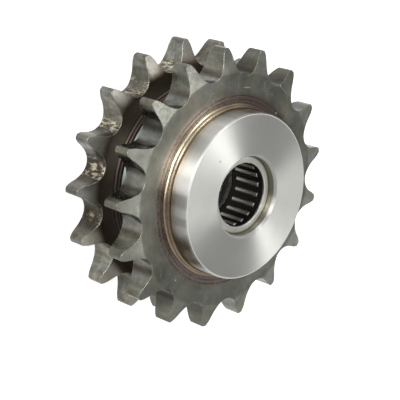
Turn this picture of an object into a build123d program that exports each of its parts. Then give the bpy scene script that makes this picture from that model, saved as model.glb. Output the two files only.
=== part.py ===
"""Double-strand idler sprocket with two caged needle bearings in its bore.

Millimetres. +Z runs along the shaft towards the hub's long nose, and the origin is the centre of the
flat rear face. Tooth number one of both plates points along +X.
"""

from build123d import *

import os
from math import acos, atan2, cos, degrees, hypot, radians, sin, tan

os.makedirs("parts", exist_ok=True)

# The roller chain that the teeth are cut for
chain_pitch = 19.05
chain_roller_diameter = 11.91
strand_spacing = 22.78
seating_allowance = 0.038
tooth_count = 17

# The two tooth plates
plate_thickness = 11.28
tooth_side_relief = 2.2
tooth_relief_height = 9.5
plate_slip = 0.05

# The turned hub
hub_length = 44.45
hub_diameter = 66.3
shoulder_diameter = 76.2
hub_edge_chamfer = 0.5
bore_lead_in = 1.0

# The weld beads
weld_leg = 2.0
weld_crown = 1.2

# The bearings' cups
shaft_diameter = 25.4
cup_diameter = 31.75
cup_width = 19.05
lip_thickness = 0.9
lip_shaft_clearance = 0.15
cup_drawn_corner = 0.7
cup_rim_chamfer = 0.5

# The needles
needles_per_bearing = 20
needle_diameter = 2.38
needle_length = 12.0
needle_shaft_clearance = 0.02
needle_race_clearance = 0.05
front_needle_phase = 15.5
rear_needle_phase = 5.3

# The cages, whose round pockets close in past the needles' middles on both sides and so hold them in
cage_end_play = 0.3
cage_race_clearance = 0.25
cage_shaft_clearance = 0.5
pocket_clearance = 0.12

# What follows from these sizes
tooth_angle = 360 / tooth_count
half_tooth = radians(tooth_angle / 2)
pitch_radius = chain_pitch / (2 * sin(half_tooth))
tip_radius = chain_pitch / 2 * (0.6 + 1 / tan(half_tooth))
relief_radius = tip_radius - tooth_relief_height
hub_radius = hub_diameter / 2
shoulder_radius = shoulder_diameter / 2
plate_bore_radius = hub_radius + plate_slip
front_plate_base = strand_spacing
front_plate_face = strand_spacing + plate_thickness
shaft_radius = shaft_diameter / 2
cup_radius = cup_diameter / 2
lip_radius = shaft_radius + lip_shaft_clearance
needle_radius = needle_diameter / 2
needle_orbit = shaft_radius + needle_shaft_clearance + needle_radius
race_radius = needle_orbit + needle_radius + needle_race_clearance
needle_angle = 360 / needles_per_bearing
bearing_seam = hub_length / 2
cage_length = cup_width - 2 * (lip_thickness + cage_end_play)
cage_outer_radius = race_radius - cage_race_clearance
cage_inner_radius = shaft_radius + cage_shaft_clearance
pocket_radius = needle_radius + pocket_clearance
pocket_length = needle_length + 2 * pocket_clearance

# The standard chain tooth: a seating curve, a working curve, a straight flank and a topping curve
tooth_cut_overrun = 1.0
seating_radius = 0.5025 * chain_roller_diameter + seating_allowance
seating_angle = 35 + 60 / tooth_count
working_angle = 18 - 56 / tooth_count
working_offset = 0.8 * chain_roller_diameter
working_radius = working_offset + seating_radius
topping_offset = 1.4 * chain_roller_diameter
flank_angle = seating_angle - working_angle
flank_length = chain_roller_diameter * (
    1.4 * sin(radians(17 - 64 / tooth_count)) - 0.8 * sin(radians(working_angle))
)


def polar(radius, angle):
    """The point at a radius and an angle in degrees."""
    return Vector(radius * cos(radians(angle)), radius * sin(radians(angle)))


def topping_sweep(centre, radius, start_angle):
    """How far the topping curve turns before it is clear of the tooth tips.

    The curve leaves the blank where the triangle of the sprocket's centre, the curve's centre and the
    point on the curve has the tip radius and the overrun for its third side.
    """
    clear_radius = tip_radius + tooth_cut_overrun
    centre_radius = hypot(centre.X, centre.Y)
    bearing = degrees(atan2(centre.Y, centre.X))
    across = (clear_radius**2 - centre_radius**2 - radius**2) / (2 * centre_radius * radius)
    return bearing - degrees(acos(across)) - start_angle


# The gap that the cutter leaves between two teeth, centred on +X, one half drawn and then mirrored
roller_centre = Vector(pitch_radius, 0)
working_centre = roller_centre + polar(working_offset, seating_angle - 90)
topping_centre = roller_centre + polar(topping_offset, 90 + tooth_angle / 2)

with BuildSketch() as tooth_gap:
    with BuildLine():
        seat = CenterArc(roller_centre, seating_radius, 180, seating_angle - 90)
        working = CenterArc(working_centre, working_radius, 90 + seating_angle, -working_angle)
        flank = PolarLine(working @ 1, flank_length, flank_angle)
        topping_radius = (topping_centre - flank @ 1).length
        topping = CenterArc(
            topping_centre,
            topping_radius,
            flank_angle - 90,
            topping_sweep(topping_centre, topping_radius, flank_angle - 90),
        )
        Line(topping @ 1, (tip_radius + tooth_cut_overrun, 0))
        mirror(about=Plane.XZ)
    make_face()


# The tooth plates: turned blanks with relieved sides, bored for the hub, with the gaps cut through
for plate_name, base in (("rear_tooth_plate", 0), ("front_tooth_plate", front_plate_base)):
    with BuildPart() as plate:
        with BuildSketch(Plane.XZ):
            with BuildLine():
                Polyline(
                    (plate_bore_radius, base),
                    (relief_radius, base),
                    (tip_radius, base + tooth_side_relief),
                    (tip_radius, base + plate_thickness - tooth_side_relief),
                    (relief_radius, base + plate_thickness),
                    (plate_bore_radius, base + plate_thickness),
                    close=True,
                )
            make_face()
        revolve(axis=Axis.Z)
        with BuildSketch(Plane.XY.offset(base)):
            with PolarLocations(0, tooth_count, start_angle=tooth_angle / 2):
                add(tooth_gap.sketch)
        extrude(amount=plate_thickness, mode=Mode.SUBTRACT)
    plate.part.label = plate_name
    export_step(plate.part, f"parts/{plate_name}.step")


# The hub: one turned bar whose shoulder spaces the plates, bored right through for the bearings
with BuildPart() as hub:
    with BuildSketch():
        Circle(hub_radius)
    extrude(amount=hub_length)
    with BuildSketch(Plane.XY.offset(plate_thickness)):
        Circle(shoulder_radius)
    extrude(amount=front_plate_base - plate_thickness)
    with BuildSketch():
        Circle(cup_radius)
    extrude(amount=hub_length, mode=Mode.SUBTRACT)
    end_rims = hub.edges().filter_by(GeomType.CIRCLE).group_by(Axis.Z)
    end_rims = end_rims[0] + end_rims[-1]
    chamfer(end_rims.filter_by(lambda rim: rim.radius > cup_radius), hub_edge_chamfer)
    chamfer(end_rims.filter_by(lambda rim: rim.radius <= cup_radius), bore_lead_in)
hub.part.label = "hub"
export_step(hub.part, "parts/hub.step")


# The weld beads: crowned fillets in the corner between each plate's front face and the hub
for weld_name, corner_radius, corner_height in (
    ("front_weld_bead", hub_radius, front_plate_face),
    ("rear_weld_bead", shoulder_radius, plate_thickness),
):
    with BuildPart() as weld:
        with BuildSketch(Plane.XZ):
            with BuildLine():
                Polyline(
                    (corner_radius, corner_height),
                    (corner_radius + weld_leg, corner_height),
                    (corner_radius + weld_crown, corner_height + weld_crown),
                    (corner_radius, corner_height + weld_leg),
                    close=True,
                )
            make_face()
        revolve(axis=Axis.Z)
    weld.part.label = weld_name
    export_step(weld.part, f"parts/{weld_name}.step")


# The two bearings: each has a drawn cup with an inward lip at both ends, a cage and its needles
for side, base, phase in (
    ("rear", bearing_seam - cup_width, rear_needle_phase),
    ("front", bearing_seam, front_needle_phase),
):
    top = base + cup_width
    middle = base + cup_width / 2

    with BuildPart() as cup:
        with BuildSketch(Plane.XZ):
            with BuildLine():
                Polyline(
                    (lip_radius, base),
                    (cup_radius, base),
                    (cup_radius, top),
                    (lip_radius, top),
                    (lip_radius, top - lip_thickness),
                    (race_radius, top - lip_thickness),
                    (race_radius, base + lip_thickness),
                    (lip_radius, base + lip_thickness),
                    close=True,
                )
            make_face()
            seam_corner, mouth_corner = (
                vertices().group_by(Axis.X)[-1].sort_by(Axis.Y, reverse=side == "rear")
            )
            chamfer(mouth_corner, cup_drawn_corner)
            chamfer(seam_corner, cup_rim_chamfer)
        revolve(axis=Axis.Z)
    cup.part.label = f"{side}_bearing_cup"
    export_step(cup.part, f"parts/{side}_bearing_cup.step")

    with BuildPart() as cage:
        with BuildSketch(Plane.XY.offset(middle - cage_length / 2)):
            Circle(cage_outer_radius)
            Circle(cage_inner_radius, mode=Mode.SUBTRACT)
        extrude(amount=cage_length)
        with BuildSketch(Plane.XY.offset(middle - pocket_length / 2)):
            with PolarLocations(needle_orbit, needles_per_bearing, start_angle=phase):
                Circle(pocket_radius)
        extrude(amount=pocket_length, mode=Mode.SUBTRACT)
    cage.part.label = f"{side}_cage"
    export_step(cage.part, f"parts/{side}_cage.step")

    for number in range(needles_per_bearing):
        with BuildPart() as needle:
            with BuildSketch(Plane.XY.offset(middle - needle_length / 2)):
                with Locations(polar(needle_orbit, phase + number * needle_angle)):
                    Circle(needle_radius)
            extrude(amount=needle_length)
        needle.part.label = f"{side}_needle_{number + 1:02d}"
        export_step(needle.part, f"parts/{side}_needle_{number + 1:02d}.step")
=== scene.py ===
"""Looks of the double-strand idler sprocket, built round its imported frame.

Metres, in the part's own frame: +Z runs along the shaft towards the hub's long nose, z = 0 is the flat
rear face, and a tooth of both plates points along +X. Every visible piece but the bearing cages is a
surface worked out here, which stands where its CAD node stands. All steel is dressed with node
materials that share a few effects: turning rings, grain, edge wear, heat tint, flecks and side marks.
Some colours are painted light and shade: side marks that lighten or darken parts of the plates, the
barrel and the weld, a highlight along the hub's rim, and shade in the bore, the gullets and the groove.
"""

import logging  # noqa: E402
import math  # noqa: E402
from dataclasses import dataclass, field, replace  # noqa: E402
from enum import Enum  # noqa: E402

import bpy  # noqa: E402
import numpy as np  # noqa: E402
from mathutils import Matrix, Vector  # noqa: E402

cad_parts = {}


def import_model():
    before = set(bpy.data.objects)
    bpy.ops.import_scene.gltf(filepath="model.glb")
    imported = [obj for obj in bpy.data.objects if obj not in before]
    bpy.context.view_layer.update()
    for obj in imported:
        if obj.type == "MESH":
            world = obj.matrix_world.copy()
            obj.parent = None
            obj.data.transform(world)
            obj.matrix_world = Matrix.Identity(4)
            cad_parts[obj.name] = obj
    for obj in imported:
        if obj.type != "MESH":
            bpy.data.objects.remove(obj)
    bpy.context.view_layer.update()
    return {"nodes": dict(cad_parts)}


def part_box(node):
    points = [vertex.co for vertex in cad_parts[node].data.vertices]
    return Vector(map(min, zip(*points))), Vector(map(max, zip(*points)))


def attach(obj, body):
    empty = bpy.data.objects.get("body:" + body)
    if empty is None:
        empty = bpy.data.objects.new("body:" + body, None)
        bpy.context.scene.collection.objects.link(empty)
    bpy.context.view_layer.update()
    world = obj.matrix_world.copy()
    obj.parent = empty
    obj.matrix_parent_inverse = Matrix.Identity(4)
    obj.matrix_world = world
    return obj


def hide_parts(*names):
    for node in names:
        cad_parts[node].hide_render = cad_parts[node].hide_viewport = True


MM = 0.001

log = logging.getLogger("sprocket")

Array = np.ndarray
Corners = list[tuple[float, float, float]]
Colour = tuple[float, float, float]
Socket = bpy.types.NodeSocket
Sockets = dict[str, Socket]
Value = Socket | float
Paint = Socket | Colour


class Side(Enum):
    """The two ends of the part."""

    FRONT = "front"
    REAR = "rear"


class Slot(Enum):
    """The record's material slots of the new pieces, passed to dress, which does not use them."""

    PLATE = "tooth_plate_steel"
    HUB = "hub_steel"
    WELD = "weld_metal"
    CUP = "bearing_cup_steel"
    NEEDLE = "needle_steel"


class Trait(Enum):
    """The values that a surface's points carry for its material."""

    EDGE = "edge"
    FLANK = "flank"
    GULLET = "gullet"
    CREST = "crest"


# Meshes


def even_angles(count: int) -> Array:
    """Angles at even steps round a circle, in radians."""
    return np.arange(count) * math.tau / count


def ring_points(radius: Array, angle: Array, height: Array) -> Array:
    """Points round the z axis: x = radius x cos(angle), y = radius x sin(angle), z = height."""
    places = np.broadcast_arrays(radius * np.cos(angle), radius * np.sin(angle), height)
    return np.stack(places, axis=-1)


def grid_faces(rows: int, columns: int, bands: int) -> Array:
    """Joins the points of a grid, whose rows go round, to their neighbours.

    Args:
        rows: How many rows the grid has.
        columns: How many points each row has.
        bands: How many rows are joined to the next: all of them where the last one meets the first.

    Returns:
        Four-sided faces, as point numbers.
    """
    row, column = np.meshgrid(np.arange(bands), np.arange(columns), indexing="ij")
    next_row, next_column = (row + 1) % rows, (column + 1) % columns
    corners = [
        row * columns + column,
        row * columns + next_column,
        next_row * columns + next_column,
        next_row * columns + column,
    ]
    return np.stack(corners, axis=-1).reshape(-1, 4)


@dataclass
class Skin:
    """A grid of points that closes on itself both ways, like the skin of a ring.

    Rows run along the section and columns round the part. Traits holds a value for each point.
    """

    name: str
    points: Array
    traits: dict[Trait, Array] = field(default_factory=dict)
    uv: tuple[Array, Array] | None = None

    def faces(self) -> Array:
        """Joins each point to its neighbours.

        Returns:
            Four-sided faces, as point numbers, turned so that the ring's volume is positive.
        """
        rows, columns = self.points.shape[:2]
        quads = grid_faces(rows, columns, rows)
        corners = self.points.reshape(-1, 3)[quads]
        volume = np.einsum(
            "ij,ij->i",
            corners[:, 0],
            np.cross(corners[:, 1], corners[:, 2]) + np.cross(corners[:, 2], corners[:, 3]),
        ).sum()
        return quads if volume > 0 else quads[:, ::-1]

    def build(self) -> bpy.types.Object:
        """Makes the mesh and links its object at the origin.

        Returns:
            The new object.
        """
        quads = self.faces()
        mesh = bpy.data.meshes.new(self.name)
        mesh.from_pydata(self.points.reshape(-1, 3).tolist(), [], quads.tolist())
        for trait, values in self.traits.items():
            layer = mesh.attributes.new(trait.value, "FLOAT", "POINT")
            full = np.broadcast_to(values, self.points.shape[:2])
            layer.data.foreach_set("value", full.astype(np.float32).ravel())
        if self.uv is not None:
            self._lay_uv(mesh, quads)
        return link_mesh(mesh)

    def _lay_uv(self, mesh: bpy.types.Mesh, quads: Array) -> None:
        """Writes the map whose u runs round the part and v along the section, with no jump at the seam.

        Args:
            mesh: The mesh made from quads.
            quads: Its faces, as point numbers.
        """
        along, across = self.uv
        columns = self.points.shape[1]
        column, row = quads % columns, quads // columns
        wraps = (column == 0) & (column.max(axis=1, keepdims=True) == columns - 1)
        u = np.where(wraps, along[-1], along[:-1][column])
        v = np.broadcast_to(across, self.points.shape[:2])[row, column]
        layer = mesh.uv_layers.new(name="UVMap")
        layer.data.foreach_set("uv", np.stack([u, v], axis=-1).astype(np.float32).ravel())


def link_mesh(mesh: bpy.types.Mesh) -> bpy.types.Object:
    """Shades a mesh smooth and puts it in the scene, at the origin.

    Args:
        mesh: The finished mesh.

    Returns:
        Its object.
    """
    mesh.polygons.foreach_set("use_smooth", np.ones(len(mesh.polygons), bool))
    mesh.update()
    piece = bpy.data.objects.new(mesh.name, mesh)
    bpy.context.scene.collection.objects.link(piece)
    return piece


def rounded_section(corners: Corners, steps: int = 6) -> tuple[Array, Array]:
    """Rounds each corner of a closed section with an arc of its own radius.

    An arc starts radius x tan(half the turn) before its corner and ends as far after it, about a centre
    that lies radius / cos(half the turn) from the corner, towards the inside of the turn. A point is
    added close to each end of an arc, so that smooth shading stays within the rounding.

    Args:
        corners: The radius, height and rounding radius of each corner, in order.
        steps: How many facets each arc has.

    Returns:
        The points as (n, 2) radius and height, and for each the share of edge in it, from 0 to 1.
    """
    table = np.array(corners)
    place, rounding = table[:, :2], table[:, 2]
    away = np.roll(place, -1, axis=0) - place
    away /= np.linalg.norm(away, axis=1, keepdims=True)
    arrive = np.roll(away, 1, axis=0)
    cross = arrive[:, 0] * away[:, 1] - arrive[:, 1] * away[:, 0]
    turn = np.arctan2(cross, (arrive * away).sum(axis=1))
    inwards = np.stack([-arrive[:, 1], arrive[:, 0]], axis=1) * np.sign(turn)[:, None]
    back = rounding * np.tan(np.abs(turn) / 2)
    start = place - arrive * back[:, None]
    centre = start + inwards * rounding[:, None]
    swing = np.linspace(0, 1, steps + 1)[None, :] * turn[:, None]
    spoke = start - centre
    arcs = centre[:, None, :] + np.stack(
        [
            spoke[:, :1] * np.cos(swing) - spoke[:, 1:] * np.sin(swing),
            spoke[:, :1] * np.sin(swing) + spoke[:, 1:] * np.cos(swing),
        ],
        axis=-1,
    )
    ease = 0.5 * rounding[:, None]
    before = (start - arrive * ease)[:, None, :]
    after = (arcs[:, -1] + away * ease)[:, None, :]
    points = np.concatenate([before, arcs, after], axis=1).reshape(-1, 2)
    share = np.concatenate([[0], np.sin(np.linspace(0, np.pi, steps + 1)) * 0.5 + 0.5, [0]])
    return points, np.tile(share, len(corners))


def turned_skin(name: str, corners: Corners, facets: int) -> Skin:
    """Carries a rounded section round the shaft's axis, as a lathe does.

    Args:
        name: The piece's name.
        corners: The section's corners, as rounded_section takes them.
        facets: How many facets go round.

    Returns:
        The skin, with its edges marked.
    """
    section, share = rounded_section(corners)
    points = ring_points(section[:, :1], even_angles(facets), section[:, 1:])
    return Skin(name, points, {Trait.EDGE: share[:, None]})


# Node graphs


class Graph:
    """Lays out the nodes of one material, world or group."""

    def __init__(self, tree: bpy.types.NodeTree) -> None:
        """Starts with an empty tree."""
        self.tree = tree
        tree.nodes.clear()

    def node(self, kind: str, **settings: object) -> bpy.types.Node:
        """Adds a node.

        Args:
            kind: The node's type name, without its ShaderNode start.
            settings: The node's own properties.

        Returns:
            The node.
        """
        made = self.tree.nodes.new("ShaderNode" + kind)
        for key, value in settings.items():
            setattr(made, key, value)
        return made

    def put(self, value: Value | Colour, target: Socket) -> None:
        """Links a socket to another, or writes a plain value on it.

        Args:
            value: The socket to link, or the number or colour to write.
            target: The socket that takes it.
        """
        if isinstance(value, bpy.types.NodeSocket):
            self.tree.links.new(value, target)
        elif isinstance(value, tuple) and target.type == "RGBA":
            target.default_value = (*value, 1.0)
        else:
            target.default_value = value

    def math(self, operation: str, first: Value, second: Value = 0.0, third: Value = 0.0) -> Socket:
        """Adds one sum.

        Args:
            operation: What the Math node does.
            first: Its first value.
            second: Its second value.
            third: Its third value, where it takes one.

        Returns:
            The result's socket.
        """
        made = self.node("Math", operation=operation)
        for value, target in zip((first, second, third), made.inputs):
            self.put(value, target)
        return made.outputs[0]

    def plus(self, first: Value, second: Value) -> Socket:
        """Adds two values."""
        return self.math("ADD", first, second)

    def times(self, first: Value, second: Value) -> Socket:
        """Multiplies two values."""
        return self.math("MULTIPLY", first, second)

    def off(self, value: Value, middle: Value) -> Socket:
        """How far a value lies from a middle one, to either side."""
        return self.math("ABSOLUTE", self.math("SUBTRACT", value, middle))

    def blend(self, share: Value, first: Value, second: Value) -> Socket:
        """Mixes two values: the first plus share x (the second less the first)."""
        return self.math("MULTIPLY_ADD", share, self.math("SUBTRACT", second, first), first)

    def remap(
        self, value: Value, low: Value, high: Value, to_low: float = 0.0, to_high: float = 1.0
    ) -> Socket:
        """Eases a value from one range into another and holds it there.

        Args:
            value: The value.
            low: Where the eased range starts.
            high: Where it ends.
            to_low: The result at and below low.
            to_high: The result at and above high.

        Returns:
            The result's socket.
        """
        made = self.node("MapRange", interpolation_type="SMOOTHSTEP")
        for target, given in zip(made.inputs, (value, low, high, to_low, to_high)):
            self.put(given, target)
        return made.outputs[0]

    def vary(self, cloud: Socket, low: float, high: float, span: float = 0.2) -> Socket:
        """Turns a cloud, which lies about 0.5, into low at span under that and high at span over."""
        return self.remap(cloud, 0.5 - span, 0.5 + span, low, high)

    def mix(self, share: Value, first: Paint, second: Paint, blend_type: str = "MIX") -> Socket:
        """Mixes two colours.

        Args:
            share: How much of the second shows.
            first: The first colour.
            second: The second colour.
            blend_type: How they mix.

        Returns:
            The result's socket.
        """
        made = self.node("Mix", data_type="RGBA", blend_type=blend_type)
        self.put(share, made.inputs[0])
        self.put(first, made.inputs[6])
        self.put(second, made.inputs[7])
        return made.outputs[2]

    def tint(self, colour: Paint, factor: Paint, share: Value = 1.0) -> Socket:
        """Multiplies a colour by another, or by a tone, as far as share says."""
        return self.mix(share, colour, factor, "MULTIPLY")

    def noise(self, vector: Socket, scale: Value, detail: float = 3.0, rough: float = 0.5) -> Socket:
        """Adds a cloud noise.

        Args:
            vector: Where it is read.
            scale: How many of its cells go into a metre.
            detail: How many finer layers it has.
            rough: How strong they are.

        Returns:
            Its value, about 0.5.
        """
        made = self.node("TexNoise")
        self.put(vector, made.inputs["Vector"])
        self.put(scale, made.inputs["Scale"])
        made.inputs["Detail"].default_value = detail
        made.inputs["Roughness"].default_value = rough
        return made.outputs[0]

    def combine(self, x: Value, y: Value, z: Value = 0.0) -> Socket:
        """Makes a vector of three values.

        Args:
            x: Its first value.
            y: Its second value.
            z: Its third value.

        Returns:
            The vector's socket.
        """
        made = self.node("CombineXYZ")
        for value, target in zip((x, y, z), made.inputs):
            self.put(value, target)
        return made.outputs[0]

    def split(self, vector: Socket) -> list[Socket]:
        """Takes a vector apart.

        Args:
            vector: The vector.

        Returns:
            The sockets of its three values.
        """
        made = self.node("SeparateXYZ")
        self.put(vector, made.inputs[0])
        return list(made.outputs)

    def trait(self, trait: Trait) -> Socket:
        """Reads a value that the surface's points carry."""
        return self.node("Attribute", attribute_name=trait.value).outputs["Fac"]

    def ramp(self, value: Socket, stops: list[tuple[float, Colour]]) -> Socket:
        """Turns a value into a colour.

        Args:
            value: The value.
            stops: Each stop's place and colour, in order.

        Returns:
            The colour's socket.
        """
        made = self.node("ValToRGB")
        marks = made.color_ramp.elements
        while len(marks) < len(stops):
            marks.new(1.0)
        for mark, (place, colour) in zip(marks, stops):
            mark.position = place
            mark.color = (*colour, 1.0)
        self.put(value, made.inputs[0])
        return made.outputs[0]


class Port(Enum):
    """The kinds of socket that a group has."""

    VALUE = "NodeSocketFloat"
    COLOUR = "NodeSocketColor"
    VECTOR = "NodeSocketVector"


class Effect:
    """A shader node group, made once and then placed in each material that shows the effect."""

    title = "effect"
    inputs: dict[str, Port] = {}
    outputs: dict[str, Port] = {}

    def __init__(self) -> None:
        """Makes the group's sockets and fills it."""
        self.tree = bpy.data.node_groups.new(self.title, "ShaderNodeTree")
        for direction, sockets in (("INPUT", self.inputs), ("OUTPUT", self.outputs)):
            for name, port in sockets.items():
                self.tree.interface.new_socket(name, in_out=direction, socket_type=port.value)
        graph = Graph(self.tree)
        start = graph.tree.nodes.new("NodeGroupInput")
        end = graph.tree.nodes.new("NodeGroupOutput")
        results = self.fill(graph, {name: start.outputs[name] for name in self.inputs})
        for name, result in results.items():
            graph.put(result, end.inputs[name])

    def fill(self, graph: Graph, given: Sockets) -> Sockets:
        """Lays out the group's nodes.

        Args:
            graph: The group's graph.
            given: The group's inputs by name.

        Returns:
            The group's outputs by name.
        """
        raise NotImplementedError

    def place(self, graph: Graph, **values: Value) -> Sockets:
        """Puts the group into a material.

        Args:
            graph: The material's graph.
            values: Its inputs by name.

        Returns:
            The group's outputs by name.
        """
        made = graph.node("Group")
        made.node_tree = self.tree
        for name, value in values.items():
            graph.put(value, made.inputs[name])
        return {name: made.outputs[name] for name in self.outputs}


class TurningRings(Effect):
    """Fine rings that a lathe tool leaves.

    A ring's tone is noise along the radius plus the height, which grows across both a face and a barrel.
    """

    title = "turning rings"
    inputs = {"Place": Port.VECTOR, "Pitch": Port.VALUE, "Wander": Port.VALUE}
    outputs = {"Tone": Port.VALUE, "Radius": Port.VALUE, "Height": Port.VALUE}

    def fill(self, graph: Graph, given: Sockets) -> Sockets:
        """Lays out the rings.

        Args:
            graph: The group's graph.
            given: The place, the rings' pitch and how far they wander.

        Returns:
            The rings' tone, and the place's distance from the axis and its height.
        """
        x, y, z = graph.split(given["Place"])
        radius = graph.math("SQRT", graph.plus(graph.times(x, x), graph.times(y, y)))
        drift = graph.times(graph.noise(given["Place"], 60.0, 2.0), given["Wander"])
        turns = graph.math("DIVIDE", graph.plus(graph.plus(radius, z), drift), given["Pitch"])
        tone = graph.noise(graph.combine(turns, 0.0), 1.0, 4.0, 0.7)
        return {"Tone": tone, "Radius": radius, "Height": z}


class Grain(Effect):
    """Cloudy unevenness of a metal skin: a broad cloud and a fine one, about 0.5."""

    title = "grain"
    inputs = {"Place": Port.VECTOR, "Broad": Port.VALUE, "Fine": Port.VALUE}
    outputs = {"Cloud": Port.VALUE, "Speckle": Port.VALUE}

    def fill(self, graph: Graph, given: Sockets) -> Sockets:
        """Lays out the two clouds.

        Args:
            graph: The group's graph.
            given: The place, and how many cells of each cloud go into a metre.

        Returns:
            The broad cloud and the fine one.
        """
        cloud = graph.noise(given["Place"], given["Broad"], 4.0, 0.6)
        speckle = graph.noise(given["Place"], given["Fine"], 3.0, 0.65)
        return {"Cloud": cloud, "Speckle": speckle}


class EdgeWear(Effect):
    """Bare bright metal on the corners, broken up by a fine cloud."""

    title = "edge wear"
    inputs = {"Place": Port.VECTOR, "Edge": Port.VALUE, "Amount": Port.VALUE}
    outputs = {"Worn": Port.VALUE}

    def fill(self, graph: Graph, given: Sockets) -> Sockets:
        """Lays out the wear: the share of edge, broken up by the cloud, times the amount."""
        patchy = graph.remap(graph.noise(given["Place"], 900.0), 0.3, 0.6, 0.45, 1.0)
        return {"Worn": graph.times(graph.times(given["Edge"], patchy), given["Amount"])}


class HeatTint(Effect):
    """The colours that a weld's heat leaves with distance: dark brown, straw brown and then bare steel."""

    title = "heat tint"
    inputs = {"Place": Port.VECTOR, "Distance": Port.VALUE, "Reach": Port.VALUE}
    outputs = {"Tint": Port.COLOUR, "Amount": Port.VALUE}

    def fill(self, graph: Graph, given: Sockets) -> Sockets:
        """Lays out the tint.

        Args:
            graph: The group's graph.
            given: The place, its distance from the weld and how far the tint reaches.

        Returns:
            The tint's colour and how much of it shows.
        """
        uneven = graph.vary(graph.noise(given["Place"], 90.0, 2.0), 0.7, 1.4, 0.25)
        share = graph.math("DIVIDE", graph.times(given["Distance"], uneven), given["Reach"])
        tint = graph.ramp(
            share,
            [
                (0.0, (0.52, 0.41, 0.29)),
                (0.25, (0.70, 0.60, 0.47)),
                (0.5, (0.84, 0.77, 0.68)),
                (0.8, (0.94, 0.91, 0.86)),
                (1.0, (1.0, 0.99, 0.97)),
            ],
        )
        return {"Tint": tint, "Amount": graph.remap(share, 0.8, 1.1, 1.0, 0.0)}


class Flecks(Effect):
    """Small bright specks: cells of which only a few are chosen."""

    title = "flecks"
    inputs = {"Place": Port.VECTOR, "Scale": Port.VALUE, "Rarity": Port.VALUE}
    outputs = {"Chosen": Port.VALUE}

    def fill(self, graph: Graph, given: Sockets) -> Sockets:
        """Lays out the cells.

        Args:
            graph: The group's graph.
            given: The place, how many cells go into a metre and the share of them that stays bare.

        Returns:
            One at the core of a chosen cell, falling to nothing at its sides.
        """
        cells = graph.node("TexVoronoi", feature="F1")
        graph.put(given["Place"], cells.inputs["Vector"])
        graph.put(given["Scale"], cells.inputs["Scale"])
        lot = graph.node("TexWhiteNoise", noise_dimensions="3D")
        graph.put(cells.outputs["Position"], lot.inputs["Vector"])
        chosen = graph.math("GREATER_THAN", lot.outputs["Value"], given["Rarity"])
        core = graph.remap(cells.outputs["Distance"], 0.15, 0.45, 1.0, 0.0)
        return {"Chosen": graph.times(chosen, core)}


class SideMark(Effect):
    """A soft mark at one side of a round part.

    The mark is whole where the cosine of the angle from its middle is Near or more, and has gone where
    that cosine is Far.
    """

    title = "side mark"
    inputs = {"Place": Port.VECTOR, "Middle": Port.VALUE, "Far": Port.VALUE, "Near": Port.VALUE}
    outputs = {"Mark": Port.VALUE}

    def fill(self, graph: Graph, given: Sockets) -> Sockets:
        """Lays out the mark.

        Args:
            graph: The group's graph.
            given: The place, the mark's middle in radians and the two cosines.

        Returns:
            The mark, from 0 to 1.
        """
        x, y, _ = graph.split(given["Place"])
        angle = graph.math("ARCTAN2", y, x)
        nearness = graph.math("COSINE", graph.math("SUBTRACT", angle, given["Middle"]))
        return {"Mark": graph.remap(nearness, given["Far"], given["Near"])}


@dataclass
class Effects:
    """The effects that the materials share, each built once."""

    rings: TurningRings = field(default_factory=TurningRings)
    grain: Grain = field(default_factory=Grain)
    wear: EdgeWear = field(default_factory=EdgeWear)
    heat: HeatTint = field(default_factory=HeatTint)
    flecks: Flecks = field(default_factory=Flecks)
    side: SideMark = field(default_factory=SideMark)


# Finishes


@dataclass(frozen=True)
class ArcMask:
    """A soft mark round the axis, which places painted light and shade, and where the rear plate's chips
    lie.

    Its middle and its reach to each side are in degrees. The core is the share of the reach in which it
    is whole.
    """

    middle: float
    reach: float
    strength: float
    core: float = 0.35


@dataclass(frozen=True)
class Nick:
    """One small mark, whose middle, half length and half width are in mm and its turn in degrees."""

    middle: tuple[float, float, float]
    length: float
    width: float
    turn: float
    strength: float


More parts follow.
